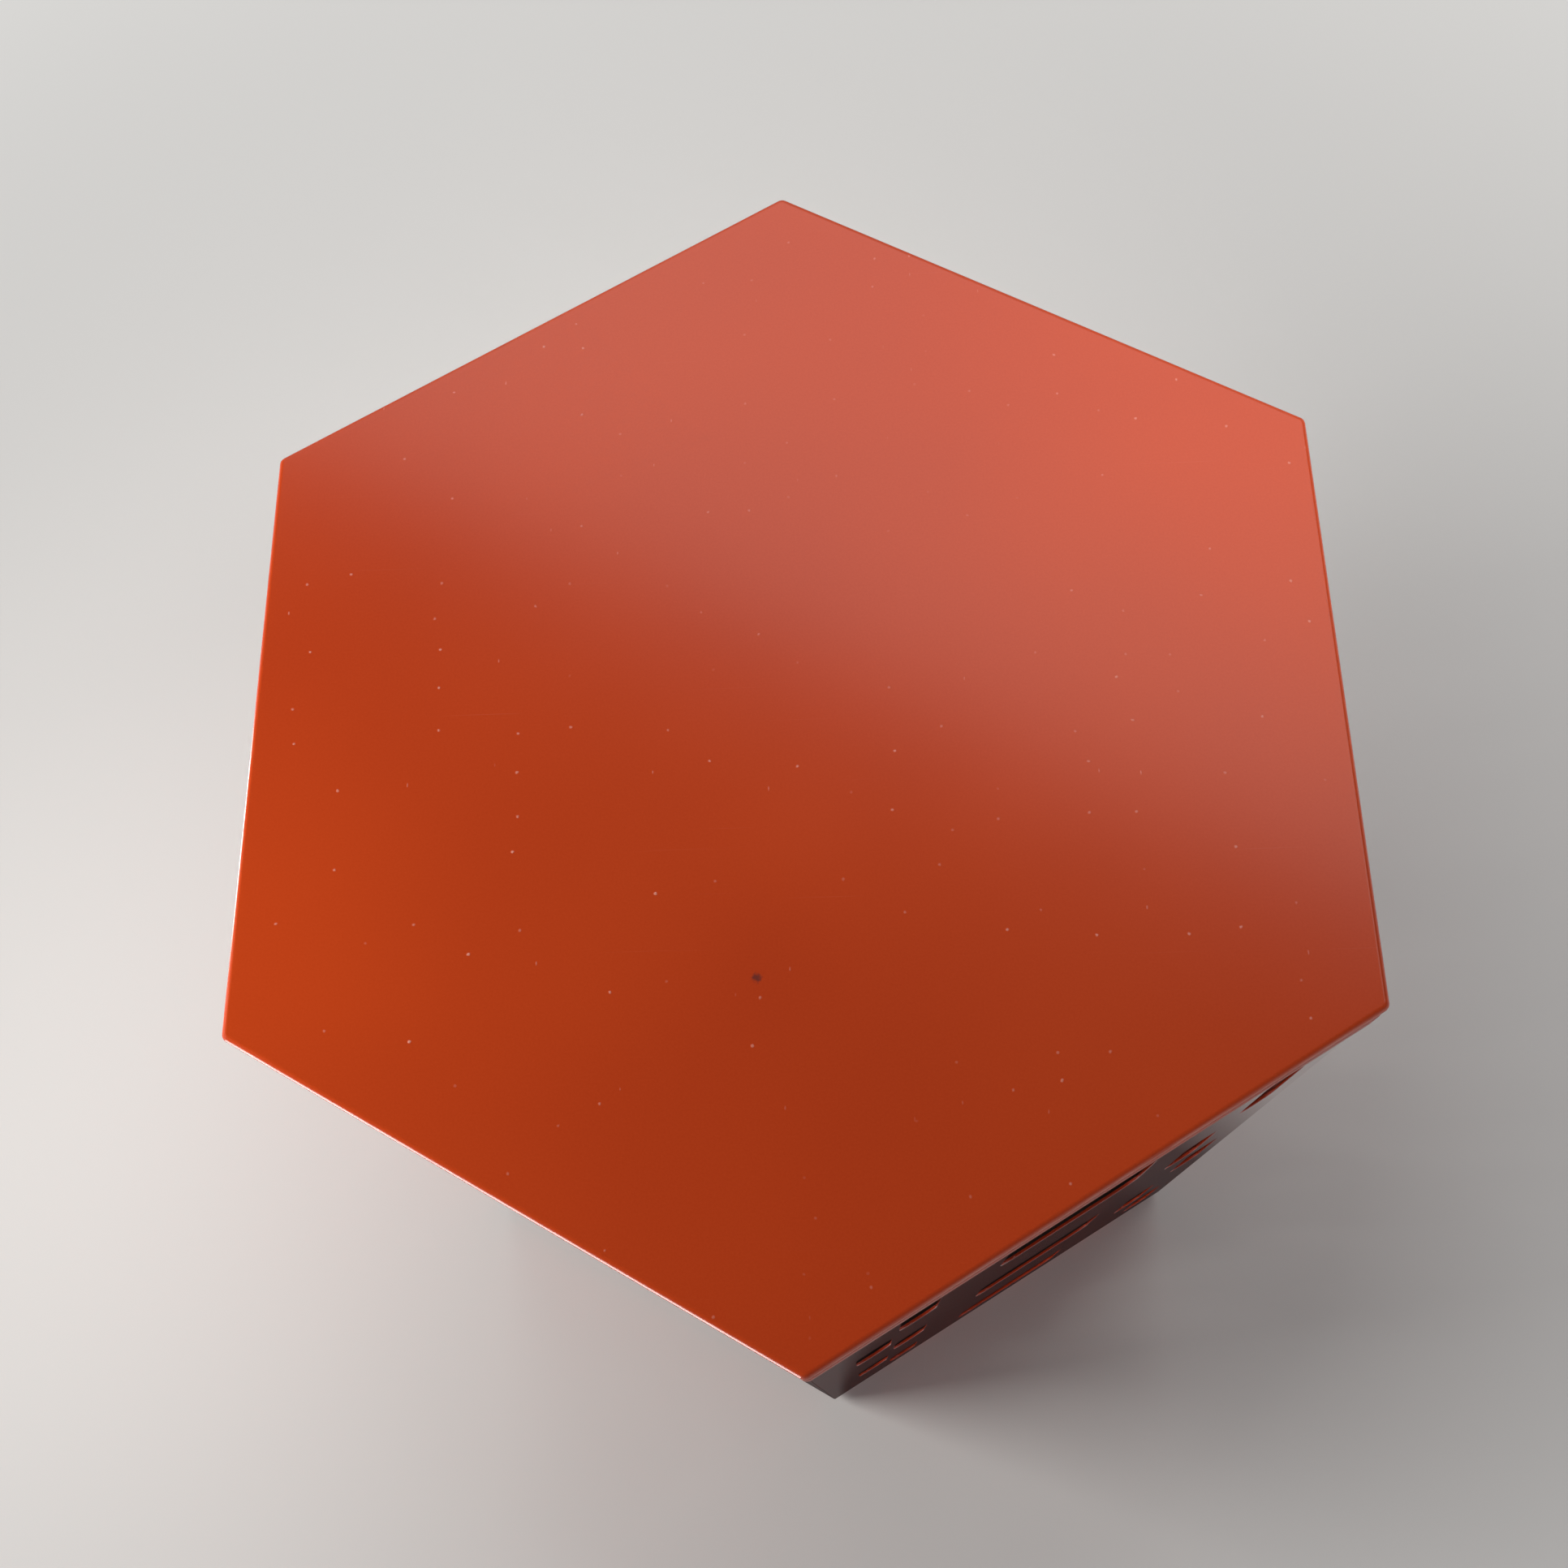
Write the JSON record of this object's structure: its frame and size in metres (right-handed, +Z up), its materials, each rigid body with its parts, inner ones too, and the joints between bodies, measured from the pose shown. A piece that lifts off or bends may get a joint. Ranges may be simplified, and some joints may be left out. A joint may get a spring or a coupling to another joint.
{
  "type": "practice pad",
  "caption": "Free-standing hexagonal practice pad: a satin playing sheet on damping rubber and board, which lifts off a hollow six-sided stand of pierced sheet metal.",
  "frame": {"origin": "centre of the footprint, on the floor", "axes": "+Z up; flat sides face +X and -X, corners point to +Y and -Y"},
  "size_m": [0.3556, 0.4098, 0.44],
  "materials": {
    "playing_sheet": "satin red-orange",
    "damping_rubber": "matt black",
    "painted_board": "satin red-orange paint",
    "block_wood": "bare birch",
    "base_board": "black-stained fibreboard",
    "panel_paint": "gloss red-orange lacquer",
    "frame_paint": "red-orange primer coat",
    "felt": "dark grey felt",
    "screw_steel": "zinc plated",
    "insert_brass": "turned brass",
    "foot_rubber": "matt black"
  },
  "bodies": {
    "stand": {"base_board": "base_board", "base_inserts": "insert_brass", "bottom_ring": "frame_paint", "corner_angle_1": "frame_paint", "corner_angle_2": "frame_paint", "corner_angle_3": "frame_paint", "corner_angle_4": "frame_paint", "corner_angle_5": "frame_paint", "corner_angle_6": "frame_paint", "felt_strips": "felt", "foot_1": "foot_rubber", "foot_2": "foot_rubber", "foot_3": "foot_rubber", "foot_4": "foot_rubber", "foot_5": "foot_rubber", "foot_6": "foot_rubber", "foot_screws": "screw_steel", "foot_washers": "screw_steel", "side_panel_1": "panel_paint", "side_panel_2": "panel_paint", "side_panel_3": "panel_paint", "side_panel_4": "panel_paint", "side_panel_5": "panel_paint", "side_panel_6": "panel_paint", "top_ring": "frame_paint"},
    "pad": {"playing_surface": "playing_sheet", "damping_rubber": "damping_rubber", "pad_board": "painted_board", "locating_block_1": "block_wood", "locating_block_2": "block_wood", "locating_block_3": "block_wood", "block_screws": "screw_steel"}
  },
  "joints": [
    {"name": "pad_lift", "type": "slide", "parent": "stand", "child": "pad", "axis": [0, 0, 1], "range_m": [0, 0.08]}
  ]
}
